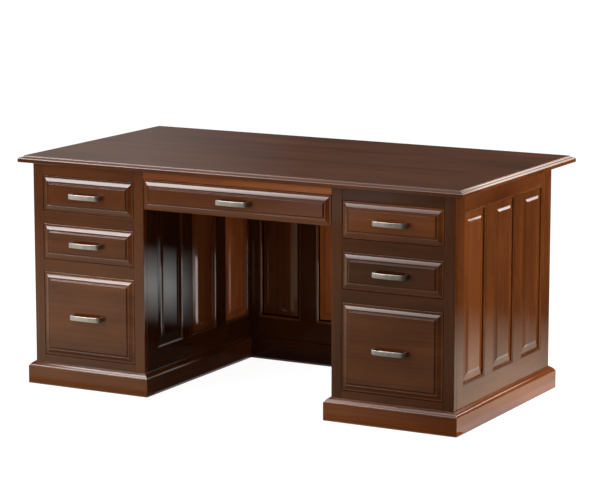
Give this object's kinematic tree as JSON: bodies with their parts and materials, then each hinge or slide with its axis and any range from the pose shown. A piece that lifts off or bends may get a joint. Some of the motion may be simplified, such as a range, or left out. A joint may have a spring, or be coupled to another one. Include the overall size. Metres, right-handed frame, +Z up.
{
  "type": "pedestal desk",
  "caption": "Executive pedestal desk: moulded top on panelled pedestals, inset drawers on telescopic slides, a shallow centre drawer and a panelled modesty wall behind the kneehole.",
  "frame": {"origin": "on the floor under the middle of the desk's outer box", "axes": "+X to the right of someone sitting at the desk, +Y towards its back, +Z up"},
  "size_m": [1.676, 0.922, 0.796],
  "materials": {
    "stained_wood": "dark red-brown stain under satin lacquer",
    "drawer_maple": "clear satin lacquer",
    "inner_timber": "plain sawn and sanded",
    "pull_nickel": "satin nickel plate",
    "slide_steel": "bright zinc plate"
  },
  "bodies": {
    "desk_frame": {"desk_top": "stained_wood", "top_cleats": "inner_timber", "left_face_frame": "stained_wood", "left_outer_side_frame": "stained_wood", "left_outer_side_panels": "stained_wood", "left_inner_side_frame": "stained_wood", "left_inner_side_panels": "stained_wood", "left_back_frame": "stained_wood", "left_back_panels": "stained_wood", "left_base_moulding": "stained_wood", "left_pedestal_floor": "inner_timber", "left_slide_rails": "inner_timber", "left_case_slides": "slide_steel", "right_face_frame": "stained_wood", "right_outer_side_frame": "stained_wood", "right_outer_side_panels": "stained_wood", "right_inner_side_frame": "stained_wood", "right_inner_side_panels": "stained_wood", "right_back_frame": "stained_wood", "right_back_panels": "stained_wood", "right_base_moulding": "stained_wood", "right_pedestal_floor": "inner_timber", "right_slide_rails": "inner_timber", "right_case_slides": "slide_steel", "modesty_frame": "stained_wood", "modesty_panels": "stained_wood", "modesty_base_moulding": "stained_wood", "centre_rail": "stained_wood", "centre_case_slides": "slide_steel"},
    "left_top_drawer": {"left_top_drawer_front": "stained_wood", "left_top_drawer_box": "drawer_maple", "left_top_drawer_pull": "pull_nickel", "left_top_drawer_slides": "slide_steel"},
    "left_middle_drawer": {"left_middle_drawer_front": "stained_wood", "left_middle_drawer_box": "drawer_maple", "left_middle_drawer_pull": "pull_nickel", "left_middle_drawer_slides": "slide_steel"},
    "left_file_drawer": {"left_file_drawer_front": "stained_wood", "left_file_drawer_box": "drawer_maple", "left_file_drawer_pull": "pull_nickel", "left_file_drawer_slides": "slide_steel"},
    "left_file_drawer_middle_members": {"left_file_drawer_middle_slides": "slide_steel"},
    "right_top_drawer": {"right_top_drawer_front": "stained_wood", "right_top_drawer_box": "drawer_maple", "right_top_drawer_pull": "pull_nickel", "right_top_drawer_slides": "slide_steel"},
    "right_middle_drawer": {"right_middle_drawer_front": "stained_wood", "right_middle_drawer_box": "drawer_maple", "right_middle_drawer_pull": "pull_nickel", "right_middle_drawer_slides": "slide_steel"},
    "right_file_drawer": {"right_file_drawer_front": "stained_wood", "right_file_drawer_box": "drawer_maple", "right_file_drawer_pull": "pull_nickel", "right_file_drawer_slides": "slide_steel"},
    "right_file_drawer_middle_members": {"right_file_drawer_middle_slides": "slide_steel"},
    "centre_drawer": {"centre_drawer_front": "stained_wood", "centre_drawer_box": "drawer_maple", "centre_drawer_pull": "pull_nickel", "centre_drawer_slides": "slide_steel"}
  },
  "joints": [
    {"name": "left_top_drawer_slide", "type": "slide", "parent": "desk_frame", "child": "left_top_drawer", "axis": [0, -1, 0], "range_m": [0, 0.45]},
    {"name": "left_middle_drawer_slide", "type": "slide", "parent": "desk_frame", "child": "left_middle_drawer", "axis": [0, -1, 0], "range_m": [0, 0.45]},
    {"name": "left_file_drawer_slide", "type": "slide", "parent": "desk_frame", "child": "left_file_drawer", "axis": [0, -1, 0], "range_m": [0, 0.6]},
    {"name": "left_file_drawer_middle_member_slide", "type": "slide", "parent": "desk_frame", "child": "left_file_drawer_middle_members", "axis": [0, -1, 0], "range_m": [0, 0.3]},
    {"name": "right_top_drawer_slide", "type": "slide", "parent": "desk_frame", "child": "right_top_drawer", "axis": [0, -1, 0], "range_m": [0, 0.45]},
    {"name": "right_middle_drawer_slide", "type": "slide", "parent": "desk_frame", "child": "right_middle_drawer", "axis": [0, -1, 0], "range_m": [0, 0.45]},
    {"name": "right_file_drawer_slide", "type": "slide", "parent": "desk_frame", "child": "right_file_drawer", "axis": [0, -1, 0], "range_m": [0, 0.6]},
    {"name": "right_file_drawer_middle_member_slide", "type": "slide", "parent": "desk_frame", "child": "right_file_drawer_middle_members", "axis": [0, -1, 0], "range_m": [0, 0.3]},
    {"name": "centre_drawer_slide", "type": "slide", "parent": "desk_frame", "child": "centre_drawer", "axis": [0, -1, 0], "range_m": [0, 0.38]}
  ],
  "couplings": [
    {"joint": "left_file_drawer_middle_member_slide", "follows": "left_file_drawer_slide", "ratio": 0.5},
    {"joint": "right_file_drawer_middle_member_slide", "follows": "right_file_drawer_slide", "ratio": 0.5}
  ]
}
